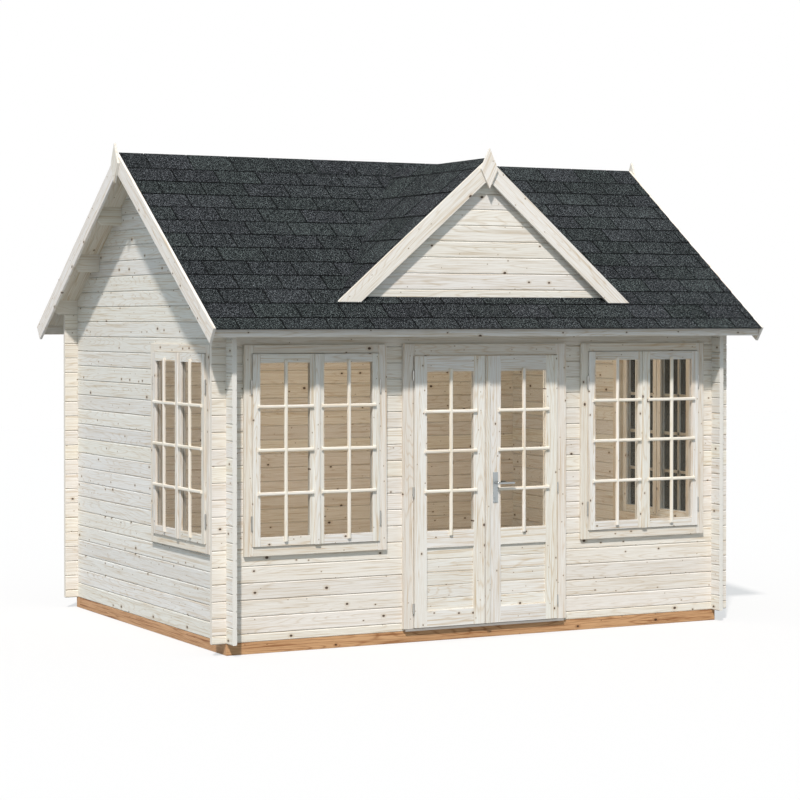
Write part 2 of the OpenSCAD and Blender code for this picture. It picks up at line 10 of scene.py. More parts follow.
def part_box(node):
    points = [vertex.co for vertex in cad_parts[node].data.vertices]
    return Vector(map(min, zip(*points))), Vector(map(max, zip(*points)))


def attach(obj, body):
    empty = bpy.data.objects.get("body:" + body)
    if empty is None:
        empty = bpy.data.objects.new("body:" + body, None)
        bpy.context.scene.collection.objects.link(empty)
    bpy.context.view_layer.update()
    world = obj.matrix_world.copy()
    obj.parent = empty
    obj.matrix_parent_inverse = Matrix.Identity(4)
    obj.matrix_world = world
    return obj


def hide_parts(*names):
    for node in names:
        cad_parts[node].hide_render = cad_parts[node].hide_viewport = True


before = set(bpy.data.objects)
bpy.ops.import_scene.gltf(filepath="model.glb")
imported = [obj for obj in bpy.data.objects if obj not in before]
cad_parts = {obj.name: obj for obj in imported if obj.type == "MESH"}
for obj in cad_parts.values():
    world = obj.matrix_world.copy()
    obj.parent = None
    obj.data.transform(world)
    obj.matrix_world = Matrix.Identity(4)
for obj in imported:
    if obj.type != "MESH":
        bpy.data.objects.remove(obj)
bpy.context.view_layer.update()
bpy.ops.object.select_all(action="DESELECT")


# Foundation beams and joists
# Pressure-treated softwood beams, honey brown, laid flat on the ground under the walls and the floor.
# The grain runs along each beam, with knots here and there, and the cut ends show growth rings.

def fill(tree, node, sockets):
    """Fills a node's sockets with values or with other nodes' outputs."""
    for socket, value in sockets.items():
        if isinstance(value, bpy.types.NodeSocket):
            tree.links.new(value, node.inputs[socket])
        else:
            node.inputs[socket].default_value = value


def place_node(tree, kind, sockets, **settings):
    """Adds a node with its settings, and fills its sockets."""
    made = tree.nodes.new(kind)
    for name, value in settings.items():
        setattr(made, name, value)
    fill(tree, made, sockets)
    return made


def reckon(tree, operation, *values):
    """One step of arithmetic on numbers or outputs."""
    return place_node(tree, "ShaderNodeMath", dict(enumerate(values)), operation=operation).outputs[0]


def reckon_vector(tree, operation, *values):
    """One step of arithmetic on vectors."""
    return place_node(tree, "ShaderNodeVectorMath", dict(enumerate(values)), operation=operation).outputs[0]


def split(tree, vector):
    """The three parts of a vector."""
    return place_node(tree, "ShaderNodeSeparateXYZ", {0: vector}).outputs


def join(tree, *parts):
    """A vector from its parts."""
    return place_node(tree, "ShaderNodeCombineXYZ", dict(enumerate(parts))).outputs[0]


def channels(tree, shade):
    """The red, green and blue of a colour."""
    return place_node(tree, "ShaderNodeSeparateColor", {0: shade}).outputs


def draw_lots(tree, number):
    """A random value and colour for each number."""
    return place_node(tree, "ShaderNodeTexWhiteNoise", {"Vector": number}, noise_dimensions="3D").outputs


def rise(tree, value, low, high):
    """Goes smoothly from 0 to 1 while the value goes from low to high."""
    sockets = {"Value": value, "From Min": low, "From Max": high}
    return place_node(tree, "ShaderNodeMapRange", sockets, interpolation_type="SMOOTHSTEP").outputs[0]


def noise(tree, place, stretch, detail):
    """Soft noise over a place that is stretched along each axis."""
    sockets = {"Vector": reckon_vector(tree, "MULTIPLY", place, stretch), "Scale": 1.0, "Detail": detail}
    return place_node(tree, "ShaderNodeTexNoise", sockets).outputs[0]


def blend_colours(tree, share, first, second, how="MIX"):
    """Blends two colours by a share from 0 to 1."""
    sockets = {0: share, 6: first, 7: second}
    return place_node(tree, "ShaderNodeMix", sockets, data_type="RGBA", blend_type=how).outputs[2]


def colour(red, green, blue):
    """A colour as a screen shows it, from 0 to 255, in the linear values that shaders take."""
    parts = [part / 255 for part in (red, green, blue)]
    return [p / 12.92 if p <= 0.04045 else ((p + 0.055) / 1.055) ** 2.4 for p in parts] + [1.0]


def make_group(name, inputs, outputs):
    """An empty shader node group with its named inputs and outputs: its tree, what it is given, its end."""
    tree = bpy.data.node_groups.new(name, "ShaderNodeTree")
    for socket, kind in inputs.items():
        tree.interface.new_socket(name=socket, in_out="INPUT", socket_type="NodeSocket" + kind)
    for socket, kind in outputs.items():
        tree.interface.new_socket(name=socket, in_out="OUTPUT", socket_type="NodeSocket" + kind)
    return tree, tree.nodes.new("NodeGroupInput").outputs, tree.nodes.new("NodeGroupOutput")


def new_finish(name):
    """A new material, its node tree and its shader."""
    finish = bpy.data.materials.new(name)
    finish.use_nodes = True
    return finish, finish.node_tree, finish.node_tree.nodes["Principled BSDF"]


def make_sawn_wood():
    """Grain, knots and cut ends of sawn softwood. The grain lies along x, and boards are stacked along z."""
    tree, given, end = make_group("sawn_wood", {
        "Place": "Vector", "Facing": "Vector", "Board": "Float", "First": "Float", "Pale": "Color",
        "Streak": "Color", "Knot And Seam Shade": "Color", "Figure": "Float", "Knots": "Float", "Seam": "Float",
    }, {"Color": "Color", "Roughness": "Float", "Height": "Float"})

    # Every board has its own number, and with it its own stretch of the pattern
    apart = (17.0, 3.0, 11.0)
    level = reckon(tree, "SUBTRACT", split(tree, given["Place"])[2], given["First"])
    step = reckon(tree, "DIVIDE", level, given["Board"])
    luck = draw_lots(tree, join(tree, reckon(tree, "FLOOR", step)))["Color"]
    lucks = channels(tree, luck)
    own = reckon_vector(tree, "MULTIPLY_ADD", luck, apart, given["Place"])

    # Knots lie scattered over the wide face, reach through the board and are a little longer than high
    cells_along, cells_up = 6.0, 8.5
    smallest, growth = 0.022, 0.075
    lengthways, _, upwards = split(tree, own)
    flat = join(tree, reckon(tree, "MULTIPLY", lengthways, cells_along),
                reckon(tree, "MULTIPLY", upwards, cells_up))
    cell = place_node(tree, "ShaderNodeTexVoronoi", {"Vector": flat, "Scale": 1.0, "Randomness": 0.85},
                      voronoi_dimensions="2D")
    draw = channels(tree, cell.outputs["Color"])
    there = reckon(tree, "LESS_THAN", draw[0], given["Knots"])
    size = reckon(tree, "MULTIPLY_ADD", reckon(tree, "POWER", draw[1], 4.0), growth, smallest)
    away = reckon(tree, "DIVIDE", cell.outputs["Distance"], size)
    core = reckon(tree, "MULTIPLY", rise(tree, away, 1.0, 0.65), there)
    halo = reckon(tree, "MULTIPLY", rise(tree, away, 2.6, 0.9), there)

    # Growth rings are the contour lines of a long soft noise, and they bend around the knots
    bend, crowding, thinness = 0.05, 240.0, 8.0
    bent = reckon(tree, "MULTIPLY_ADD", halo, bend, noise(tree, own, (0.4, 6.5, 6.5), 1.5))
    wave = reckon(tree, "SINE", reckon(tree, "MULTIPLY", bent, crowding))
    ring = reckon(tree, "POWER", reckon(tree, "MULTIPLY_ADD", wave, 0.5, 0.5), thinness)
    fibre = noise(tree, own, (9.0, 150.0, 150.0), 3.0)
    vein = rise(tree, noise(tree, own, (1.8, 95.0, 95.0), 3.0), 0.5, 0.68)
    patch = noise(tree, own, (1.3, 9.0, 9.0), 2.0)

    # Together they shade the face from the pale wood to its streaks
    ring_share, vein_share, fibre_share, patch_share = 0.55, 0.9, 1.15, 0.6
    mean_fibre, mean_patch = 0.42, 0.45
    patches = reckon(tree, "MULTIPLY", reckon(tree, "SUBTRACT", patch, mean_patch), patch_share)
    soft = reckon(tree, "MULTIPLY_ADD", reckon(tree, "SUBTRACT", fibre, mean_fibre), fibre_share, patches)
    veins = reckon(tree, "MULTIPLY_ADD", vein, vein_share, soft)
    lines = reckon(tree, "MULTIPLY_ADD", ring, ring_share, veins)
    figure = reckon(tree, "MULTIPLY", lines, given["Figure"])
    shade = place_node(tree, "ShaderNodeClamp", {0: figure}).outputs[0]
    face = blend_colours(tree, shade, given["Pale"], given["Streak"])

    # Each board is a little lighter or darker, and a little warmer or cooler, than the next
    darkest, grey_range, blue_range = 0.95, 0.08, 0.05
    grey = reckon(tree, "MULTIPLY_ADD", lucks[2], grey_range, darkest)
    blue = reckon(tree, "MULTIPLY_ADD", lucks[1], blue_range, reckon(tree, "SUBTRACT", grey, blue_range / 2))
    face = blend_colours(tree, 1.0, face, join(tree, grey, grey, blue), "MULTIPLY")

    # A knot is dark in its core and tints the wood around it
    core_share, halo_share = 0.93, 0.45
    face = blend_colours(tree, reckon(tree, "MULTIPLY", halo, halo_share), face, given["Streak"])
    face = blend_colours(tree, reckon(tree, "MULTIPLY", core, core_share), face, given["Knot And Seam Shade"])

    # Painted shade: the lower bevel of each board is darkened towards the knot colour, a line of shade above
    # the lit upper bevel of the next
    shade_full, shade_end = 0.0042, 0.0058
    above = reckon(tree, "MULTIPLY", reckon(tree, "FRACT", step), given["Board"])
    joint_shade = rise(tree, above, shade_end, shade_full)
    face = blend_colours(tree, reckon(tree, "MULTIPLY", joint_shade, given["Seam"]), face, given["Knot And Seam Shade"])

    # Cut ends show rings around the heart of the tree
    end_tone, end_figure = 0.02, 0.28
    heart = reckon_vector(tree, "MULTIPLY", reckon_vector(tree, "SUBTRACT", own, luck), (0.0, 1.0, 1.0))
    rings = place_node(tree, "ShaderNodeTexWave", {
        "Vector": heart, "Scale": 42.0, "Distortion": 1.5, "Detail": 1.0, "Detail Scale": 6.0},
        wave_type="RINGS", rings_direction="X").outputs["Fac"]
    end_shade = reckon(tree, "MULTIPLY_ADD", rings, end_figure, end_tone)
    cut_end = blend_colours(tree, end_shade, given["Pale"], given["Streak"])
    lengthwise = reckon(tree, "ABSOLUTE", split(tree, given["Facing"])[0])
    face = blend_colours(tree, rise(tree, lengthwise, 0.8, 0.95), face, cut_end)

    # Fibres, rings and knots stand a little proud, and the fibres are rougher than what lies between
    smoothest, roughness_range = 0.45, 0.25
    ring_relief, knot_relief = 0.25, 0.4
    rough = reckon(tree, "MULTIPLY_ADD", fibre, roughness_range, smoothest)
    knotty = reckon(tree, "MULTIPLY_ADD", core, knot_relief, fibre)
    height = reckon(tree, "MULTIPLY_ADD", ring, ring_relief, knotty)
    fill(tree, end, {"Color": face, "Roughness": rough, "Height": height})
    return tree


sawn_wood = make_sawn_wood()
piece_height = 2.0


# The seam setting darkens the lower bevel of each board towards the knot colour: a painted shade.
def wood_finish(name, pale, streak, knots, figure=1.0, along="grain", board=piece_height,
                first=-piece_height / 2, seam_shade=0.0):
    """A material of sawn wood, its grain along x or y, or by the attribute "grain" that each piece has."""
    finish, tree, shader = new_finish(name)
    turns = {"x": (0, 0, 0), "y": (0, 0, -math.pi / 2)}
    where = tree.nodes.new("ShaderNodeTexCoord").outputs
    if along in turns:
        spot, facing = (
            place_node(tree, "ShaderNodeMapping", {"Vector": where[way], "Rotation": turns[along]}).outputs[0]
            for way in ("Object", "Normal"))
    else:
        spot, facing = (
            place_node(tree, "ShaderNodeAttribute", {}, attribute_name=stored).outputs["Vector"]
            for stored in (along, along + "_facing"))
    wood = place_node(tree, "ShaderNodeGroup", {}, node_tree=sawn_wood)
    fill(tree, wood, {
        "Place": spot, "Facing": facing, "Board": board, "First": first, "Pale": pale, "Streak": streak,
        "Knot And Seam Shade": colour(66, 46, 33), "Figure": figure, "Knots": knots, "Seam": seam_shade})
    bump = place_node(tree, "ShaderNodeBump", {
        "Height": wood.outputs["Height"], "Distance": 0.0012, "Strength": 0.6})
    fill(tree, shader, {"Base Color": wood.outputs["Color"], "Roughness": wood.outputs["Roughness"],
                        "Normal": bump.outputs[0], "Specular IOR Level": 0.12})
    return finish


def pick(*pieces):
    """Selects these pieces alone, the first one active."""
    bpy.ops.object.select_all(action="DESELECT")
    for piece in pieces:
        piece.select_set(True)
    bpy.context.view_layer.objects.active = pieces[0]


def apply_modifier(piece, kind, **settings):
    """Adds a modifier to a piece and applies it."""
    pick(piece)
    bpy.ops.object.modifier_add(type=kind)
    modifier = piece.modifiers[-1]
    for name, value in settings.items():
        setattr(modifier, name, value)
    bpy.ops.object.modifier_apply(modifier=modifier.name)


sharp_angle = math.radians(40)
smooth_angle = math.radians(35)


def round_edges(piece, width, segments=2):
    """Rounds the sharp edges of a piece and shades it smooth between them."""
    apply_modifier(piece, "BEVEL", width=width, segments=segments, limit_method="ANGLE",
                   angle_limit=sharp_angle)
    bpy.ops.object.shade_smooth_by_angle(angle=smooth_angle)
    return piece


def show(thing):
    """Puts a new object into the scene."""
    bpy.context.scene.collection.objects.link(thing)
    return thing


@contextlib.contextmanager
def editing(choice="SELECT"):
    """Edit mode with all or nothing of the active piece selected, and back to object mode at the end."""
    bpy.ops.object.mode_set(mode="EDIT")
    bpy.ops.mesh.select_all(action=choice)
    yield
    bpy.ops.object.mode_set(mode="OBJECT")


def take_copy(node, name):
    """A new piece with the shape of a CAD node, its triangles merged into whole faces."""
    piece = show(bpy.data.objects.new(name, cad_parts[node].data.copy()))
    pick(piece)
    bpy.ops.mesh.customdata_custom_splitnormals_clear()
    with editing():
        bpy.ops.mesh.remove_doubles(threshold=0.00001)
        bpy.ops.mesh.dissolve_limited(angle_limit=math.radians(1))
    return piece


def loose_parts(mesh):
    """The vertex numbers of each part of a mesh that hangs together."""
    beside = {}
    for edge in mesh.edges:
        a, b = edge.vertices
        beside.setdefault(a, []).append(b)
        beside.setdefault(b, []).append(a)
    seen = set()
    for start in beside:
        if start not in seen:
            seen.add(start)
            part = [start]
            for vertex in part:
                fresh = [other for other in beside[vertex] if other not in seen]
                seen.update(fresh)
                part.extend(fresh)
            yield part


pattern_count = 61
board_numbers = itertools.cycle(range(pattern_count))


def lay_grain(piece):
    """Gives each part of a piece its own grain along its longest edge, stored with its points and faces."""
    mesh = piece.data
    places = mesh.attributes.new("grain", "FLOAT_VECTOR", "POINT").data
    facings = mesh.attributes.new("grain_facing", "FLOAT_VECTOR", "FACE").data
    part_of, longest, widest = {}, {}, {}
    parts = list(loose_parts(mesh))
    for index, part in enumerate(parts):
        part_of.update(dict.fromkeys(part, index))
    for edge in mesh.edges:
        a, b = (mesh.vertices[v].co for v in edge.vertices)
        index = part_of[edge.vertices[0]]
        if (b - a).length > longest.get(index, Vector()).length:
            longest[index] = b - a
    for face in mesh.polygons:
        index = part_of[face.vertices[0]]
        if index not in widest or face.area > widest[index].area:
            widest[index] = face
    axes = {}
    for index, part in enumerate(parts):
        along = longest[index].normalized()
        across = widest[index].normal.cross(along).normalized()
        axes[index] = Matrix((along, across.cross(along), across))
        middle = sum((mesh.vertices[v].co for v in part), Vector()) / len(part)
        raised = Vector((0, 0, piece_height * next(board_numbers)))
        for v in part:
            places[v].vector = axes[index] @ (mesh.vertices[v].co - middle) + raised
    for face in mesh.polygons:
        facings[face.index].vector = axes[part_of[face.vertices[0]]] @ face.normal
    return piece


def put_on(piece, finish, body, slot, *nodes):
    """Gives a piece flat-looking faces, a finish and a body, and hides the CAD nodes that it stands for."""
    apply_modifier(piece, "WEIGHTED_NORMAL", keep_sharp=True)
    piece.data.materials.clear()
    piece.data.materials.append(finish)
    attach(piece, body)
    if nodes:
        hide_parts(*nodes)
    return piece


def plane_timber(node, edge, finish, body="cabin", slot="trim_wood"):
    """A timber piece with the CAD node's shape, its edges eased by a plane and its grain along it."""
    piece = lay_grain(round_edges(take_copy(node, node + "_timber"), edge))
    return put_on(piece, finish, body, slot, node)


treated_wood = wood_finish("treated_wood", colour(203, 162, 122), colour(146, 102, 68), knots=0.4)
beam_edge = 0.003
for node in ("foundation_beams", "floor_joists"):
    plane_timber(node, beam_edge, treated_wood, slot="treated_wood")


# Floor
# Planed spruce boards with tongue and groove, nailed to the joists side by side along the cabin.
# Each board has small bevels at its edges, and the row is cut out around the door frame.

floor_wood = wood_finish("floor_wood", colour(214, 188, 152), colour(170, 130, 88), knots=0.35)
floor_low, floor_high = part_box("floor_boards")
board_count = 30
board_gap = 0.0006
board_edge = 0.0015


def block(name, low, high):
    """A box between its lowest and highest corner, as the start of a piece."""
    bpy.ops.object.select_all(action="DESELECT")
    low, high = Vector(low), Vector(high)
    bpy.ops.mesh.primitive_cube_add(size=1, location=(low + high) / 2)
    piece = bpy.context.object
    piece.name = name
    piece.scale = high - low
    bpy.ops.object.transform_apply(location=True, rotation=True, scale=True)
    return piece


def repeat(piece, name, *steps):
    """A copy of a piece with its own mesh, moved by a product of matrices."""
    moved = Matrix.Identity(4)
    for step in steps:
        moved = moved @ step
    copy = show(bpy.data.objects.new(name, piece.data.copy()))
    copy.data.transform(moved)
    return copy


def unite(pieces, name):
    """Joins pieces into one mesh."""
    pick(*pieces)
    bpy.ops.object.join()
    pieces[0].name = name
    return pieces[0]


def board_row(board, name, step, count):
    """A board and its copies, a step apart, as one mesh."""
    copies = [repeat(board, name, Matrix.Translation(Vector(step) * i)) for i in range(1, count)]
    return unite([board] + copies, name)


def carve(piece, tool):
    """Cuts the tool's shape out of a piece."""
    apply_modifier(piece, "BOOLEAN", object=tool, operation="DIFFERENCE", solver="EXACT")
    bpy.data.objects.remove(tool)


board_width = (floor_high.y - floor_low.y) / board_count
board_corner = (floor_high.x, floor_low.y + board_width - board_gap, floor_high.z)
floor_board = round_edges(block("floor_boards_laid", floor_low, board_corner), board_edge)
floor = board_row(floor_board, "floor_boards_laid", (0, board_width, 0), board_count)
door_low, door_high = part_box("door_frame")
recess_reach = 1
carve(floor, block("recess", (door_low.x, floor_low.y - recess_reach, 0),
                   (door_high.x, door_high.y, recess_reach)))
put_on(lay_grain(floor), floor_wood, "cabin", "floor_wood", "floor_boards")


# Log walls
# Planed spruce logs, laid course on course and notched where they cross, with bevels along their edges.
# The wood is untreated and nearly white, with fine streaks, small dark knots and faint rings at the cut ends.

log_height = 0.114
front_first = 0.023
gable_first = 0.08
# How strongly the lower bevel of each log is darkened: a painted shade between the logs.
log_seam_shade = 0.22
log_pale = colour(231, 228, 220)
log_streak = colour(194, 177, 151)
# The gable walls' logs are painted a little cooler than the front and rear walls': painted light for the
# bluer light that falls on those walls.
gable_pale_cool_lit = colour(230, 231, 227)


def dress(node, finish):
    """Gives a CAD node that keeps its own shape its finish."""
    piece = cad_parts[node]
    piece.material_slots[0].material = finish


long_logs = wood_finish("long_logs", log_pale, log_streak, knots=0.6, figure=0.55, along="x",
                        board=log_height, first=front_first, seam_shade=log_seam_shade)
gable_logs = wood_finish("gable_logs", gable_pale_cool_lit, log_streak, knots=0.85, figure=0.5, along="y",
                         board=log_height, first=gable_first, seam_shade=log_seam_shade)
for node in ("front_wall", "rear_wall"):
    dress(node, long_logs)
for node in ("left_wall", "right_wall", "left_gable", "right_gable"):
    dress(node, gable_logs)


# Window frames and sashes
# Each window has a glued frame that grips the log ends between its casings, and two sashes of planed spruce.
# The arrises are eased, and the grain of each stile and rail runs along it.

frame_wood = wood_finish("frame_wood", colour(227, 224, 215), colour(198, 176, 146), knots=0.95, figure=0.6)
joinery_wood = wood_finish("joinery_wood", colour(229, 229, 224), colour(202, 186, 162),
                           knots=0.9, figure=0.75)
casing_edge = 0.002
sash_edge = 0.0025
windows = ("front_left_window", "front_right_window", "left_window", "right_window")
for window in windows:
    plane_timber(window + "_frame", casing_edge, frame_wood, slot="frame_wood")
    plane_timber(window + "_sashes", sash_edge, joinery_wood, slot="joinery_wood")


# Window glass
# Clear float glass, 4 mm thick, set in grooves of the sashes and of the door leaves.
# It is nearly clear to look through, more so head-on than at a slant, and dims the lamp light that falls in.

head_on, at_slant = 0.04, 0.25
lamp_loss = 0.35
glass, glass_tree, glass_shader = new_finish("window_glass")
slant = place_node(glass_tree, "ShaderNodeLayerWeight", {"Blend": 0.35}).outputs["Facing"]
film = place_node(glass_tree, "ShaderNodeMapRange", {"Value": slant, "To Min": head_on, "To Max": at_slant})
lamp_light = glass_tree.nodes.new("ShaderNodeLightPath").outputs["Is Shadow Ray"]
dimmed = reckon(glass_tree, "MULTIPLY", lamp_light, lamp_loss)
fill(glass_tree, glass_shader, {"Base Color": colour(88, 92, 90), "Roughness": 0.03,
                                "Alpha": reckon(glass_tree, "MAXIMUM", film.outputs[0], dimmed)})
for node in ("front_window_glass", "gable_window_glass", "left_door_glass", "right_door_glass"):
    dress(node, glass)


# Glazing bars
# Round-fronted spruce bars, halved where they cross and glued to the face of each sash and door leaf.
# Their ends lap the stiles and rails, and the upright bars end in a rounded foot on the bottom rail.

bar_width = 0.023
bar_depth = 0.016
bar_lap = 0.022
foot_lap = 0.034
bar_round = 0.3 * bar_width
upright_proud = 0.001
bar_wood = wood_finish("bar_wood", colour(236, 233, 224), colour(216, 202, 176), knots=0.05, figure=0.6)


def glazing_bar(name, low, high):
    """One bar whose front, towards -y, is rounded, and whose ends are eased."""
    bar = block(name, low, high)
    with editing("DESELECT"):
        bpy.ops.mesh.select_mode(type="EDGE")
    for edge in bar.data.edges:
        edge.select = all(bar.data.vertices[v].co.y < low[1] + bar_depth / 2 for v in edge.vertices)
    bpy.ops.object.mode_set(mode="EDIT")
    bpy.ops.mesh.bevel(offset=bar_round, segments=4)
    bpy.ops.mesh.select_mode(type="VERT")
    bpy.ops.object.mode_set(mode="OBJECT")
    bpy.ops.object.shade_smooth_by_angle(angle=smooth_angle)
    return bar


def bar_lattice(name, x, z, levels, face):
    """The bars of one pane: one upright in its middle and one level bar at each height, on a face at y."""
    middle = (x[0] + x[1]) / 2
    front = face - bar_depth
    half = bar_width / 2
    bars = [glazing_bar(name, (middle - half, front - upright_proud, z[0] - foot_lap),
                        (middle + half, face, z[1] + bar_lap))]
    for level in levels:
        bars.append(glazing_bar(name, (x[0] - bar_lap, front, level - half),
                                (x[1] + bar_lap, face, level + half)))
    return unite(bars, name)


def middle_of(low, high):
    """The middle of a box."""
    return (low + high) / 2


sash_low, sash_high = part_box("front_left_window_sashes")
strip_thickness = 0.0103
sash_stile = 0.055
sash_meeting = 0.0525
sash_rail = 0.062
pane_count = 4
window_middle = middle_of(sash_low, sash_high)
front_wall_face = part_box("front_wall")[0].y
gable_wall_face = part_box("left_wall")[0].x
gable_y = middle_of(*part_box("left_window_sashes")).y

# A window's own axes: x along the wall from its middle, y from the outer face of the wall inwards
to_left, to_right = (Matrix.Rotation(turn, 4, "Z") for turn in (-math.pi / 2, math.pi / 2))
window_places = {
    "front_left_window": Matrix.Translation((window_middle.x, front_wall_face, 0)),
    "front_right_window": Matrix.Translation((-window_middle.x, front_wall_face, 0)),
    "left_window": Matrix.Translation((gable_wall_face, gable_y, 0)) @ to_left,
    "right_window": Matrix.Translation((-gable_wall_face, gable_y, 0)) @ to_right,
}
sash_half = (sash_high.x - sash_low.x) / 2
sash_face = sash_low.y + strip_thickness - front_wall_face
pane_x = (sash_meeting, sash_half - sash_stile)
pane_z = (sash_low.z + sash_rail, sash_high.z - sash_rail)


def bar_levels(z):
    """Heights of the level bars between the panes of one sash or leaf."""
    return [z[0] + (z[1] - z[0]) * i / pane_count for i in range(1, pane_count)]


right_bars = bar_lattice("window_bars", pane_x, pane_z, bar_levels(pane_z), sash_face)
left_bars = bar_lattice("window_bars", (-pane_x[1], -pane_x[0]), pane_z, bar_levels(pane_z), sash_face)
window_bars = unite([right_bars, left_bars], "window_bars")
for window, place in window_places.items():
    put_on(lay_grain(repeat(window_bars, window + "_bars", place)), bar_wood, "cabin", "joinery_wood")
bpy.data.objects.remove(window_bars)


# Window hinges
# Slim barrel hinges of zinc-plated steel, screwed into the outer stiles and into the casing beside them.
# Each has two turned knuckles on a pin with rounded tips.

knuckle_radius = 0.0062
knuckle_length = 0.047
knuckle_gap = 0.0012
knuckle_edge = 0.0012
pin_radius = 0.7 * knuckle_radius
pin_tip = 0.003
pin_edge = 0.0015
beside_sash = 0.001
above_foot, below_head = 0.16, 0.225
hinge_levels = (sash_low.z + above_foot, sash_high.z - below_head)
casing_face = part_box("front_left_window_frame")[0].y - front_wall_face


def metal_finish(name, shade, roughness):
    """Bare or plated metal, a little rougher in some places than in others."""
    finish, tree, shader = new_finish(name)
    spot = tree.nodes.new("ShaderNodeTexCoord").outputs["Object"]
    spread = 0.22
    marks = noise(tree, spot, (90.0, 90.0, 25.0), 3.0)
    wear = reckon(tree, "MULTIPLY_ADD", marks, spread, roughness - spread / 2)
    fill(tree, shader, {"Base Color": shade, "Metallic": 1.0, "Roughness": wear})
    return finish


def rod(name, start, end, radius, sides=24):
    """A round bar between two points, as the start of a piece."""
    start, end = Vector(start), Vector(end)
    bpy.ops.object.select_all(action="DESELECT")
    bpy.ops.mesh.primitive_cylinder_add(vertices=sides, radius=radius, depth=(end - start).length,
                                        location=(start + end) / 2,
                                        rotation=(end - start).to_track_quat("Z", "Y").to_euler())
    piece = bpy.context.object
    piece.name = name
    bpy.ops.object.transform_apply(location=True, rotation=True, scale=True)
    return piece


hinge_steel = metal_finish("hinge_steel", (0.44, 0.44, 0.42, 1), 0.34)
hinge_spot = Vector((sash_half + knuckle_radius + beside_sash, casing_face - knuckle_radius, 0))
upward = Vector((0, 0, 1))
knuckle = rod("window_hinge", hinge_spot, hinge_spot + upward * knuckle_length, knuckle_radius)
round_edges(knuckle, knuckle_edge)
upper_knuckle = repeat(knuckle, "window_hinge", Matrix.Translation((0, 0, knuckle_length + knuckle_gap)))
pin_length = 2 * knuckle_length + knuckle_gap + pin_tip
pin = rod("window_hinge", hinge_spot - upward * pin_tip, hinge_spot + upward * pin_length, pin_radius)
round_edges(pin, pin_edge)
hinge = unite([knuckle, upper_knuckle, pin], "window_hinge")
hinge_middle = knuckle_length + knuckle_gap / 2
side_steps = (Vector(), Vector((-2 * hinge_spot.x, 0, 0)))
hinges = unite([repeat(hinge, "window_hinges", Matrix.Translation(step + upward * (level - hinge_middle)))
                for step in side_steps for level in hinge_levels], "window_hinges")
for window, place in window_places.items():
    put_on(repeat(hinges, window + "_hinges", place), hinge_steel, "cabin", "hinge_steel")
for spare in (hinge, hinges):
    bpy.data.objects.remove(spare)


# Door frame and leaves
# A spruce frame around the opening, and two leaves of stiles and rails with glass above and a panel below.
# A narrow strip on the right leaf covers the joint between the two.

plane_timber("door_frame", casing_edge, frame_wood, slot="frame_wood")
sides = ("left", "right")
for side in sides:
    plane_timber(side + "_door_leaf", sash_edge, joinery_wood, side + "_door", "joinery_wood")
strip_edge = 0.003
plane_timber("door_cover_strip", strip_edge, joinery_wood, "right_door", "joinery_wood")


# Door panels and door bars
# The lower panel of each leaf is a stack of level spruce boards with V joints, held in grooves all round.
# The bars on the glass are those of the windows.

panel_boards = 5
panel_bevel = 0.004
glass_groove = 0.008
leaf_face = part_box("left_door_leaf")[0].y
for side in sides:
    low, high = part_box(side + "_door_panel")
    panel_step = (high.z - low.z) / panel_boards
    panel_corner = (high.x, high.y, low.z + panel_step - board_gap)
    panel_board = round_edges(block(side + "_door_panel_boards", low, panel_corner), panel_bevel, 1)
    panel = board_row(panel_board, side + "_door_panel_boards", (0, 0, panel_step), panel_boards)
    put_on(lay_grain(panel), joinery_wood, side + "_door", "joinery_wood", side + "_door_panel")
    low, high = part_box(side + "_door_glass")
    x = (low.x + glass_groove, high.x - glass_groove)
    z = (low.z + glass_groove, high.z - glass_groove)
    bars = bar_lattice(side + "_door_bars", x, z, bar_levels(z), leaf_face)
    put_on(lay_grain(bars), bar_wood, side + "_door", "joinery_wood")


# Door threshold
# An aluminium sill plate, extruded with ribs along its top that give a foothold and lead water off.
# It is screwed down on the foundation beam between the posts.

rib_count = 9
rib_height = 0.003
rib_root = 0.001
rib_start, rib_end = 0.2, 0.8
rib_edge = 0.0009
threshold_edge = 0.001
threshold_metal = metal_finish("threshold_metal", (0.42, 0.40, 0.37, 1), 0.5)
low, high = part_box("door_threshold")
plate = round_edges(block("threshold_plate", low, (high.x, high.y, high.z - rib_height)), threshold_edge)
rib_step = (high.y - low.y) / rib_count
rib = block("threshold_plate", (low.x, low.y + rib_step * rib_start, high.z - rib_height - rib_root),
            (high.x, low.y + rib_step * rib_end, high.z))
round_edges(rib, rib_edge)
ribs = board_row(rib, "threshold_plate", (0, rib_step, 0), rib_count)
put_on(unite([plate, ribs], "threshold_plate"), threshold_metal, "cabin", "threshold_metal", "door_threshold")


# Door hinges
# Three barrel hinges to a leaf, of zinc-plated steel: turned knuckles on a pin, screwed to frame and leaf.
# The rims of the knuckles are rounded.

def turned_metal(node, edge, finish, body, slot):
    """A metal piece with the CAD node's shape and rounded rims."""
    return put_on(round_edges(take_copy(node, node + "_metal"), edge), finish, body, slot, node)


door_hinge_edge = 0.0009
turned_metal("frame_hinges", door_hinge_edge, hinge_steel, "cabin", "hinge_steel")
for side in sides:
    turned_metal(side + "_leaf_hinges", door_hinge_edge, hinge_steel, side + "_door", "hinge_steel")


# Door handle
# Long plates of satin steel on both faces of the right leaf, with a lever on each and a lock cylinder below.
# The plates are pressed from sheet with rounded edges, and screwed together through the leaf.

handle_steel = metal_finish("handle_steel", (0.41, 0.44, 0.45, 1), 0.3)
plate_low, plate_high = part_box("handle_plates")
plate_middle = (plate_low.x + plate_high.x) / 2
plate_edge = 0.0014
lever_level = middle_of(*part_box("door_lever")).z
lever_edge = 0.0006
spindle_bore = 0.0057
bore_sides = 48
tool_reach = 0.01

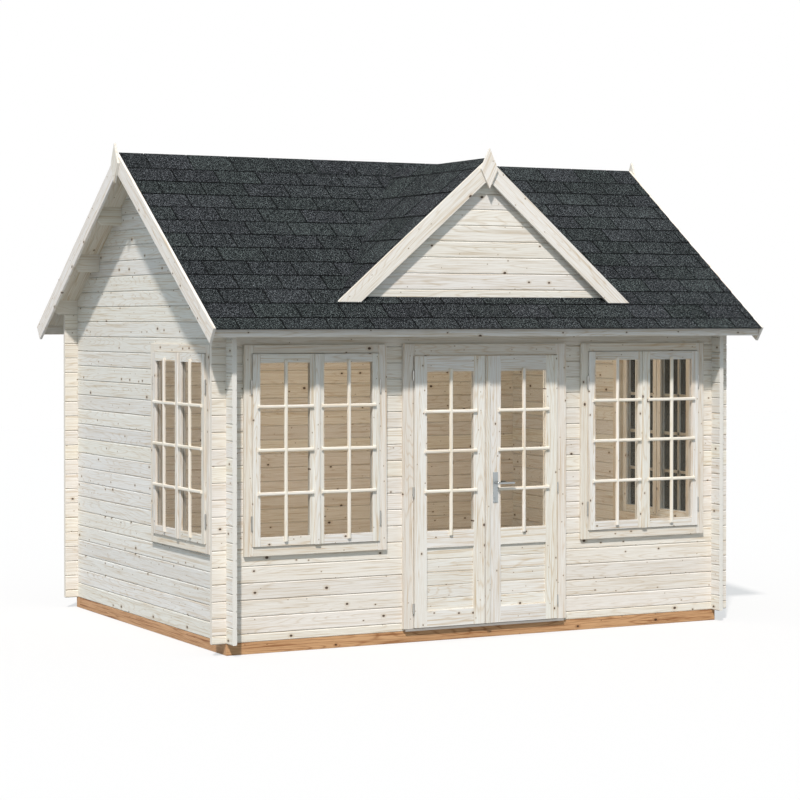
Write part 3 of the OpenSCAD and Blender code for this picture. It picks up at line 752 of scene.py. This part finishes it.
plates = take_copy("handle_plates", "handle_plates_metal")
carve(plates, rod("bore", (plate_middle, plate_low.y - tool_reach, lever_level),
                  (plate_middle, plate_high.y + tool_reach, lever_level), spindle_bore, bore_sides))
put_on(round_edges(plates, plate_edge), handle_steel, "right_door", "handle_steel", "handle_plates")
turned_metal("door_lever", lever_edge, handle_steel, "lever", "handle_steel")

lock_level = plate_low.z + 0.032
lock_radius = 0.0085
lock_sides = 32
lock_drop = 0.016
lock_proud = 0.0025
lock_edge = 0.0005
web_half = 0.005
key_half = 0.0007
key_depth = 0.002
key_below, key_above = 0.005, 0.004
lock_front, lock_back = plate_low.y - lock_proud, plate_high.y + lock_proud
lock = rod("lock_cylinder", (plate_middle, lock_front, lock_level), (plate_middle, lock_back, lock_level),
           lock_radius, lock_sides)
lock_web = block("lock_web", (plate_middle - web_half, lock_front, lock_level - lock_drop),
                 (plate_middle + web_half, lock_back, lock_level))
apply_modifier(lock, "BOOLEAN", object=lock_web, operation="UNION", solver="EXACT")
bpy.data.objects.remove(lock_web)
for face in (lock_front, lock_back):
    carve(lock, block("key_slot", (plate_middle - key_half, face - key_depth, lock_level - key_below),
                      (plate_middle + key_half, face + key_depth, lock_level + key_above)))
round_edges(lock, lock_edge)

screw_inset = 0.008
screw_radius = 0.0034
screw_proud = 0.0011
screw_root = 0.001
screw_edge = 0.0007
slot_depth = 0.0007
slot_long, slot_wide = 0.0021, 0.0004
screw_level = plate_low.z + screw_inset
screw_front = plate_low.y - screw_proud
screw = rod("handle_screw", (plate_middle, screw_front, screw_level),
            (plate_middle, plate_low.y + screw_root, screw_level), screw_radius)
round_edges(screw, screw_edge)
for half_x, half_z in ((slot_wide, slot_long), (slot_long, slot_wide)):
    carve(screw, block("screw_slot", (plate_middle - half_x, plate_low.y - tool_reach, screw_level - half_z),
                       (plate_middle + half_x, screw_front + slot_depth, screw_level + half_z)))
screw_step = plate_high.z - plate_low.z - 2 * screw_inset
screws = board_row(screw, "handle_screws", (0, 0, screw_step), 2)
put_on(unite([lock, screws], "lock_and_screws"), handle_steel, "right_door", "handle_steel")


# Purlins and roof boards
# Purlins of planed spruce lie on the gable logs, and boards are nailed to them from the ridge to the eaves.
# The boards have bevelled edges, which show from below, and their lower ends are cut plumb.

roof_pitch = math.radians(35.25)
dormer_pitch = math.radians(40.7)
roof_board_width = 0.0957
roof_board_bevel = 0.002
roof_board_thickness = 0.019
past_ridge = 0.02
purlin_edge = 0.003
roof_wood = wood_finish("roof_wood", colour(226, 222, 210), colour(198, 180, 150), knots=0.35, figure=0.7)
purlin_wood = wood_finish("purlin_wood", colour(228, 225, 215), colour(200, 184, 156), knots=0.3, figure=0.6)
plane_timber("purlins", purlin_edge, purlin_wood, slot="roof_wood")


def slope_place(turn, pitch, ridge):
    """Carries a slope, drawn flat with its ridge along x and falling towards -y, to its place on the roof."""
    return Matrix.Translation((0, 0, ridge)) @ Matrix.Rotation(turn, 4, "Z") @ Matrix.Rotation(pitch, 4, "X")


def cut(piece, point, normal):
    """Cuts off what lies beyond a plane, on the side of its normal, and closes the cut."""
    pick(piece)
    with editing():
        bpy.ops.mesh.bisect(plane_co=point, plane_no=normal, use_fill=True, clear_outer=True)
    bpy.ops.object.shade_smooth_by_angle(angle=smooth_angle)
    return piece


def mirror_across(piece, name):
    """A copy of a piece on the other side of the middle of the cabin."""
    copy = repeat(piece, name, Matrix.Scale(-1, 4, (1, 0, 0)))
    copy.data.flip_normals()
    return copy


def lay_boards(name, span, run, place):
    """Boards side by side over a span in x, from a ridge at y = 0 down to -run, carried to their place."""
    count = round((span[1] - span[0]) / roof_board_width)
    width = (span[1] - span[0]) / count
    board = block(name, (span[0], -run, -roof_board_thickness), (span[0] + width - board_gap, past_ridge, 0))
    round_edges(board, roof_board_bevel, 1)
    row = board_row(board, name, (width, 0, 0), count)
    row.data.transform(place)
    return row


rough_run = 2.3
low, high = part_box("front_roof_boards")
deck_ridge = high.z
front_boards = lay_boards("front_roof_planks", (low.x, high.x), rough_run,
                          slope_place(0, roof_pitch, deck_ridge))
cut(front_boards, (0, high.y, 0), (0, 1, 0))
cut(front_boards, (0, low.y, 0), (0, -1, 0))
rear_boards = repeat(front_boards, "rear_roof_planks", Matrix.Rotation(math.pi, 4, "Z"))
put_on(lay_grain(front_boards), roof_wood, "cabin", "roof_wood", "front_roof_boards")
put_on(lay_grain(rear_boards), roof_wood, "cabin", "roof_wood", "rear_roof_boards")

roof_inward = (0, math.sin(roof_pitch), -math.cos(roof_pitch))
cover_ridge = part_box("front_roof_covering")[1].z
low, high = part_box("dormer_roof_boards")
dormer_deck_ridge = high.z
dormer_rough_run = 1.7
dormer_boards = lay_boards("dormer_roof_planks", (0, -low.y), dormer_rough_run,
                           slope_place(-math.pi / 2, dormer_pitch, dormer_deck_ridge))
cut(dormer_boards, (-board_gap / 2, 0, 0), (1, 0, 0))
cut(dormer_boards, (0, 0, cover_ridge), roof_inward)
other_boards = mirror_across(dormer_boards, "dormer_roof_planks")
dormer_boards = unite([dormer_boards, other_boards], "dormer_roof_planks")
put_on(lay_grain(dormer_boards), roof_wood, "cabin", "roof_wood", "dormer_roof_boards")


# Shingles
# Bitumen shingles with grey mineral granules: strips with square tabs, nailed in courses from the eaves up.
# Each course laps the one below by more than half, and folded tabs cap the ridge.

tab_width = 1 / 3
tab_slot = 0.007
tab_thickness = 0.0035
tab_head = 0.03
tab_lift = 0.0055
tab_edge = 0.0008
butt_play, lift_play = 0.0015, 0.001
felt = 0.001
course = 0.170
first_course = 0.128
ridge_flank = 0.197
first_cap = 0.57 * tab_width
dormer_course = 0.26
dormer_flank = 0.11
luck = random.Random(5)


def make_granules():
    """Colour and relief of shingles, from the way along a course and the way up from the eaves."""
    tree, given, end = make_group("granules", {
        "Place": "Vector", "Along": "Float", "Up": "Float", "Course": "Float",
        "Dark": "Color", "Light": "Color",
    }, {"Color": "Color", "Height": "Float"})

    # Every tab has its own number: odd rows are half a tab out of step
    step = reckon(tree, "DIVIDE", given["Up"], given["Course"])
    row = reckon(tree, "FLOOR", step)
    odd = reckon(tree, "FLOORED_MODULO", reckon(tree, "ADD", row, 1.0), 2.0)
    stagger = reckon(tree, "MULTIPLY", odd, 0.5)
    tab = reckon(tree, "SUBTRACT", reckon(tree, "DIVIDE", given["Along"], tab_width), stagger)
    lot = draw_lots(tree, join(tree, row, reckon(tree, "FLOOR", tab)))

    # Pale grains among dark ones, on tabs that each have a tone and a tint of their own
    rarity = 8.0
    fine_share, worn_share, tab_share, dark_share = 0.2, 0.14, 0.1, 0.147
    mean_grain = 0.13
    moss, slate = (0.95, 1.03, 0.98, 1), (1.0, 0.985, 1.03, 1)
    clump = place_node(tree, "ShaderNodeTexVoronoi", {"Vector": given["Place"], "Scale": 330.0})
    coarse = channels(tree, clump.outputs["Color"])[0]
    fine = noise(tree, given["Place"], (420.0, 420.0, 420.0), 2.0)
    worn = noise(tree, given["Place"], (2.5, 2.5, 2.5), 3.0)
    grains = reckon(tree, "MULTIPLY_ADD", fine, fine_share, reckon(tree, "POWER", coarse, rarity))
    weather = reckon(tree, "MULTIPLY_ADD", worn, worn_share, -dark_share)
    tone = reckon(tree, "MULTIPLY_ADD", lot["Value"], tab_share, weather)
    level = reckon(tree, "ADD", reckon(tree, "SUBTRACT", grains, mean_grain), tone)
    share = place_node(tree, "ShaderNodeClamp", {0: level}).outputs[0]
    tint = blend_colours(tree, channels(tree, lot["Color"])[1], moss, slate)
    stone = blend_colours(tree, share, given["Dark"], given["Light"])
    face = blend_colours(tree, 1.0, stone, tint, "MULTIPLY")

    # Painted shade: dark lines just below the butts of the course above and in the slots beside each tab
    butt_shade_share, seam_shade_share = 0.95, 0.97
    shade_black = (0.002, 0.0025, 0.003, 1)
    butt_shade = reckon(tree, "MULTIPLY", rise(tree, reckon(tree, "FRACT", step), 0.94, 0.97), butt_shade_share)
    middle = reckon(tree, "ABSOLUTE", reckon(tree, "SUBTRACT", reckon(tree, "FRACT", tab), 0.5))
    seam_shade = reckon(tree, "MULTIPLY", rise(tree, middle, 0.481, 0.487), seam_shade_share)
    face = blend_colours(tree, reckon(tree, "MAXIMUM", butt_shade, seam_shade), face, shade_black)
    fill(tree, end, {"Color": face, "Height": reckon(tree, "ADD", coarse, fine)})
    return tree


granules = make_granules()


def shingle_finish(name, turn, pitch, ridge, run, start, course, first):
    """A material for one slope. Its rows and columns of tabs are those that lay_tabs lays."""
    finish, tree, shader = new_finish(name)
    spot = tree.nodes.new("ShaderNodeTexCoord").outputs["Object"]
    sockets = {"Vector": spot, "Location": (0, 0, ridge), "Rotation": (0, 0, turn)}
    x, y, z = split(tree, place_node(tree, "ShaderNodeMapping", sockets, vector_type="TEXTURE").outputs[0])
    away = reckon(tree, "MULTIPLY", reckon(tree, "ABSOLUTE", y), math.cos(pitch))
    down = reckon(tree, "MULTIPLY_ADD", z, -math.sin(pitch), away)
    up = reckon(tree, "SUBTRACT", run + course - first, down)
    along = reckon(tree, "SUBTRACT", x, start)
    stone = place_node(tree, "ShaderNodeGroup", {}, node_tree=granules)
    fill(tree, stone, {"Place": spot, "Along": along, "Up": up, "Course": course,
                       "Dark": colour(14, 17, 19), "Light": colour(148, 155, 158)})
    bump = place_node(tree, "ShaderNodeBump", {
        "Height": stone.outputs["Height"], "Distance": 0.002, "Strength": 0.5})
    fill(tree, shader, {"Base Color": stone.outputs["Color"], "Normal": bump.outputs[0],
                        "Roughness": 0.9, "Specular IOR Level": 0.1})
    return finish


def trim(pieces, point, normal):
    """Cuts each piece off at a plane by itself, and drops those that lie beyond it."""
    kept = []
    for piece in pieces:
        depths = [(vertex.co - Vector(point)).dot(Vector(normal)) for vertex in piece.data.vertices]
        if min(depths) > -board_gap:
            bpy.data.objects.remove(piece)
            continue
        kept.append(cut(piece, point, normal) if max(depths) > 0 else piece)
    return kept


def lay_tabs(name, span, run, course, first, stop):
    """Courses of tabs on a slope drawn flat, from its eaves at -run up to where the ridge caps lie."""
    tab = block(name, (tab_slot / 2, 0, 0), (tab_width - tab_slot / 2, course + tab_head, tab_thickness))
    round_edges(tab, tab_edge, 1)
    tilt = Matrix.Rotation(-math.atan(tab_thickness / course), 4, "X")
    rows = math.ceil((run - stop - first) / course) + 1
    columns = math.ceil((span[1] - span[0]) / tab_width)
    tabs = [tab]
    for row in range(rows):
        butt = first - run + course * (row - 1)
        start = span[0] + tab_width * (0.5 if row % 2 == 0 else 0)
        for column in range(-1, columns + 1):
            edge = butt + luck.uniform(-butt_play, butt_play)
            lift = tab_lift + luck.uniform(0, lift_play)
            spot = (start + tab_width * column, edge, lift)
            tabs.append(repeat(tab, name, Matrix.Translation(spot), tilt))
    bpy.data.objects.remove(tabs.pop(0))
    sheet = block(name, (span[0], -run, 0), (span[1], 0, felt))
    starter = block(name, (span[0], -run, felt), (span[1], first - run, tab_lift))
    verges = (((span[0], 0, 0), (-1, 0, 0)), ((span[1], 0, 0), (1, 0, 0)))
    eaves = ((0, -run, 0), (0, -1, 0))
    for point, normal in (*verges, eaves):
        tabs = trim(tabs, point, normal)
    return tabs + [sheet, starter]


def fold_caps(name, span, first, flank, pitch):
    """Tabs folded over a ridge along x, side by side over a span, the first seam a little way in."""
    cap = block(name, (tab_slot / 2, -flank, 0), (tab_width - tab_slot / 2, flank, tab_thickness))
    round_edges(cap, tab_edge, 1)
    with editing():
        bpy.ops.mesh.bisect(plane_co=(0, 0, 0), plane_no=(0, 1, 0))
    on_fold = 0.0001
    for vertex in cap.data.vertices:
        if abs(vertex.co.y) > on_fold:
            vertex.co = Matrix.Rotation(-math.copysign(pitch, vertex.co.y), 3, "X") @ vertex.co
    count = math.ceil((span[1] - span[0]) / tab_width) + 1
    cap.data.transform(Matrix.Translation((span[0] + first - tab_width, 0, tab_lift / math.cos(pitch))))
    row = board_row(cap, name, (tab_width, 0, 0), count)
    cut(row, (span[0], 0, 0), (-1, 0, 0))
    cut(row, (span[1], 0, 0), (1, 0, 0))
    return row


low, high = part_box("front_roof_covering")
roof_run = -low.y / math.cos(roof_pitch)
roof_span = (low.x, high.x)
main_slope = (0, roof_pitch, deck_ridge, roof_run)
main_shingles = shingle_finish("main_shingles", *main_slope, low.x, course, first_course)
front_tabs = lay_tabs("front_shingles", roof_span, roof_run, course, first_course, ridge_flank)
front_tabs = unite(front_tabs, "front_shingles")
rear_tabs = repeat(front_tabs, "rear_shingles", slope_place(math.pi, roof_pitch, deck_ridge))
front_tabs.data.transform(slope_place(0, roof_pitch, deck_ridge))
put_on(front_tabs, main_shingles, "cabin", "shingles", "front_roof_covering")
put_on(rear_tabs, main_shingles, "cabin", "shingles", "rear_roof_covering")
cap_shingles = shingle_finish("cap_shingles", *main_slope, low.x + first_cap, 2 * roof_run, 0)
caps = fold_caps("ridge_caps", roof_span, first_cap, ridge_flank, roof_pitch)
caps.data.transform(Matrix.Translation((0, 0, deck_ridge)))
put_on(caps, cap_shingles, "cabin", "shingles")

spare_run = 0.1
clear_of_deck = 0.002
sideways = -math.pi / 2
low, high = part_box("dormer_covering")
dormer_run = high.x / math.cos(dormer_pitch) + spare_run
dormer_span = (0, -low.y)
dormer_first = (dormer_run - dormer_flank) % dormer_course
dormer_slope = (sideways, dormer_pitch, dormer_deck_ridge, dormer_run)
dormer_shingles = shingle_finish("dormer_shingles", *dormer_slope, 0, dormer_course, dormer_first)
left_tabs = lay_tabs("dormer_shingles", dormer_span, dormer_run, dormer_course, dormer_first, dormer_flank)
for tab in left_tabs:
    tab.data.transform(slope_place(sideways, dormer_pitch, dormer_deck_ridge))
over_roof = (0, 0, deck_ridge + clear_of_deck)
left_tabs = unite(trim(left_tabs, over_roof, roof_inward), "dormer_shingles")
dormer_caps = fold_caps("dormer_caps", dormer_span, first_cap, dormer_flank, dormer_pitch)
dormer_caps.data.transform(slope_place(sideways, 0, dormer_deck_ridge))
cut(dormer_caps, over_roof, roof_inward)
right_tabs = mirror_across(left_tabs, "dormer_shingles")
dormer_tabs = unite([left_tabs, right_tabs], "dormer_shingles")
put_on(dormer_tabs, dormer_shingles, "cabin", "shingles", "dormer_covering")
dormer_cap_shingles = shingle_finish("dormer_cap_shingles", *dormer_slope, first_cap, 2 * dormer_run, 0)
put_on(dormer_caps, dormer_cap_shingles, "cabin", "shingles")


# Bargeboards, eaves boards and finials
# Planed spruce trim, nailed to the ends of the roof boards and purlins, with eased edges.
# Pointed finials cover the joints of the bargeboards at the three peaks.

trim_wood = wood_finish("trim_wood", colour(235, 233, 228), colour(206, 190, 166), knots=0.75, figure=0.65)
trim_edge = 0.002
for node in ("eaves_boards", "gable_bargeboards", "dormer_bargeboards", "finials"):
    plane_timber(node, trim_edge, trim_wood, slot="trim_wood")


# Dormer gable
# Level boards of planed spruce, in line with the logs of the gables, close the front of the dormer.
# They are cut to its slopes and to the main roof, with bevels along their edges.

gable_bevel = 0.006
gable_low, gable_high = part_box("dormer_gable")
first_joint = gable_first + log_height * math.floor((gable_low.z - gable_first) / log_height)
gable_boards = math.ceil((gable_high.z - first_joint) / log_height)
gable_board = block("dormer_gable_boards", (gable_low.x, gable_low.y, first_joint),
                    (gable_high.x, gable_high.y, first_joint + log_height - board_gap))
round_edges(gable_board, gable_bevel, 1)
gable = board_row(gable_board, "dormer_gable_boards", (0, 0, log_height), gable_boards)
for side in (-1, 1):
    cut(gable, (0, 0, gable_high.z), (side * math.sin(dormer_pitch), 0, math.cos(dormer_pitch)))
cut(gable, (0, 0, cover_ridge), roof_inward)
gable_wood = wood_finish("gable_wood", colour(237, 235, 228), log_streak, knots=0.5, figure=0.55)
put_on(lay_grain(gable), gable_wood, "cabin", "trim_wood", "dormer_gable")


# Studio
# A white room with a pale floor: a broad warm lamp from the front left, and soft cool light from all around.
# Seen through two windows, the backdrop and the floor are painted dark. The camera stands at the front left
# corner, at the height of the eaves.

def camera_rays(tree):
    """1 for what the camera, a mirror or glass sees, 0 for what lights the cabin."""
    path = tree.nodes.new("ShaderNodeLightPath").outputs
    seen = reckon(tree, "MAXIMUM", path["Is Camera Ray"], path["Is Glossy Ray"])
    return reckon(tree, "MAXIMUM", seen, path["Is Transmission Ray"])


def through_cabin(tree):
    """1 for what is seen through two panes, with two faces each, 0 for the rest."""
    most_of_one_pane = 3.0
    passed = tree.nodes.new("ShaderNodeLightPath").outputs["Transparent Depth"]
    return reckon(tree, "GREATER_THAN", passed, most_of_one_pane)


white = (1, 1, 1, 1)
# Where they are seen through two panes, the backdrop and the floor are painted this dark colour.
dark_beyond_panes = (0.032, 0.029, 0.023, 1)
world = bpy.data.worlds.new("studio")
bpy.context.scene.world = world
world.use_nodes = True
world_tree = world.node_tree
sky = world_tree.nodes["Background"]
fill(world_tree, sky, {"Color": (0.83, 0.95, 1.03, 1), "Strength": 0.58})
beyond = blend_colours(world_tree, through_cabin(world_tree), white, dark_beyond_panes)
backdrop = place_node(world_tree, "ShaderNodeBackground", {"Color": beyond, "Strength": 1.0})
room = place_node(world_tree, "ShaderNodeMixShader", {
    0: camera_rays(world_tree), 1: sky.outputs[0], 2: backdrop.outputs[0]})
fill(world_tree, world_tree.nodes["World Output"], {"Surface": room.outputs[0]})

lamp_travel = Vector((0.74, 1.0, -1.5))
lamp = bpy.data.lights.new("lamp", "SUN")
lamp.energy = 3.62
lamp.angle = math.radians(3)
lamp.color = (1.0, 0.93, 0.88)
lamp_stand = show(bpy.data.objects.new("lamp", lamp))
lamp_stand.rotation_euler = lamp_travel.to_track_quat("-Z", "Y").to_euler()

room_lamp = bpy.data.lights.new("room_lamp", "POINT")
room_lamp.energy = 49.0
room_lamp.shadow_soft_size = 0.5
room_lamp.color = (1.0, 0.895, 0.77)
room_lamp_level = 1.6
room_stand = show(bpy.data.objects.new("room_lamp", room_lamp))
room_stand.location = (0, gable_y, room_lamp_level)

floor_reach = 60
floor_drop = 0.001
floor_grey = (0.29, 0.29, 0.29, 1)
floor_glow = 0.6
bpy.ops.object.select_all(action="DESELECT")
bpy.ops.mesh.primitive_plane_add(size=floor_reach, location=(0, 0, -floor_drop))
studio_floor = bpy.context.object
studio_floor.name = "studio_floor"
floor_paint, paint_tree, paint = new_finish("studio_floor")
# Seen through two panes, the floor is painted dark and does not glow.
hidden = through_cabin(paint_tree)
glow = reckon(paint_tree, "MULTIPLY", camera_rays(paint_tree), floor_glow)
glow = reckon(paint_tree, "MULTIPLY", glow, reckon(paint_tree, "SUBTRACT", 1.0, hidden))
fill(paint_tree, paint, {"Base Color": blend_colours(paint_tree, hidden, floor_grey, dark_beyond_panes), "Roughness": 1.0,
                         "Specular IOR Level": 0.0, "Emission Color": white, "Emission Strength": glow})
studio_floor.data.materials.append(floor_paint)

photo_width = 800
lens_pixels = 2270.7
sensor = 36.0
optical_middle = (397.06, 356.91)
camera_yaw = math.radians(27.588)
camera_pitch = math.radians(-0.910)
camera = bpy.data.cameras.new("camera")
camera.sensor_width = sensor
camera.lens = lens_pixels * sensor / photo_width
camera.shift_x = 0.5 - optical_middle[0] / photo_width
camera.shift_y = optical_middle[1] / photo_width - 0.5
camera.clip_end = 200
tripod = show(bpy.data.objects.new("camera", camera))
tripod.location = (-8.0412, -15.5299, 2.2545)
tripod.rotation_euler = (math.pi / 2 + camera_pitch, 0, -camera_yaw)
bpy.context.scene.camera = tripod
bpy.context.scene.view_settings.view_transform = "Standard"
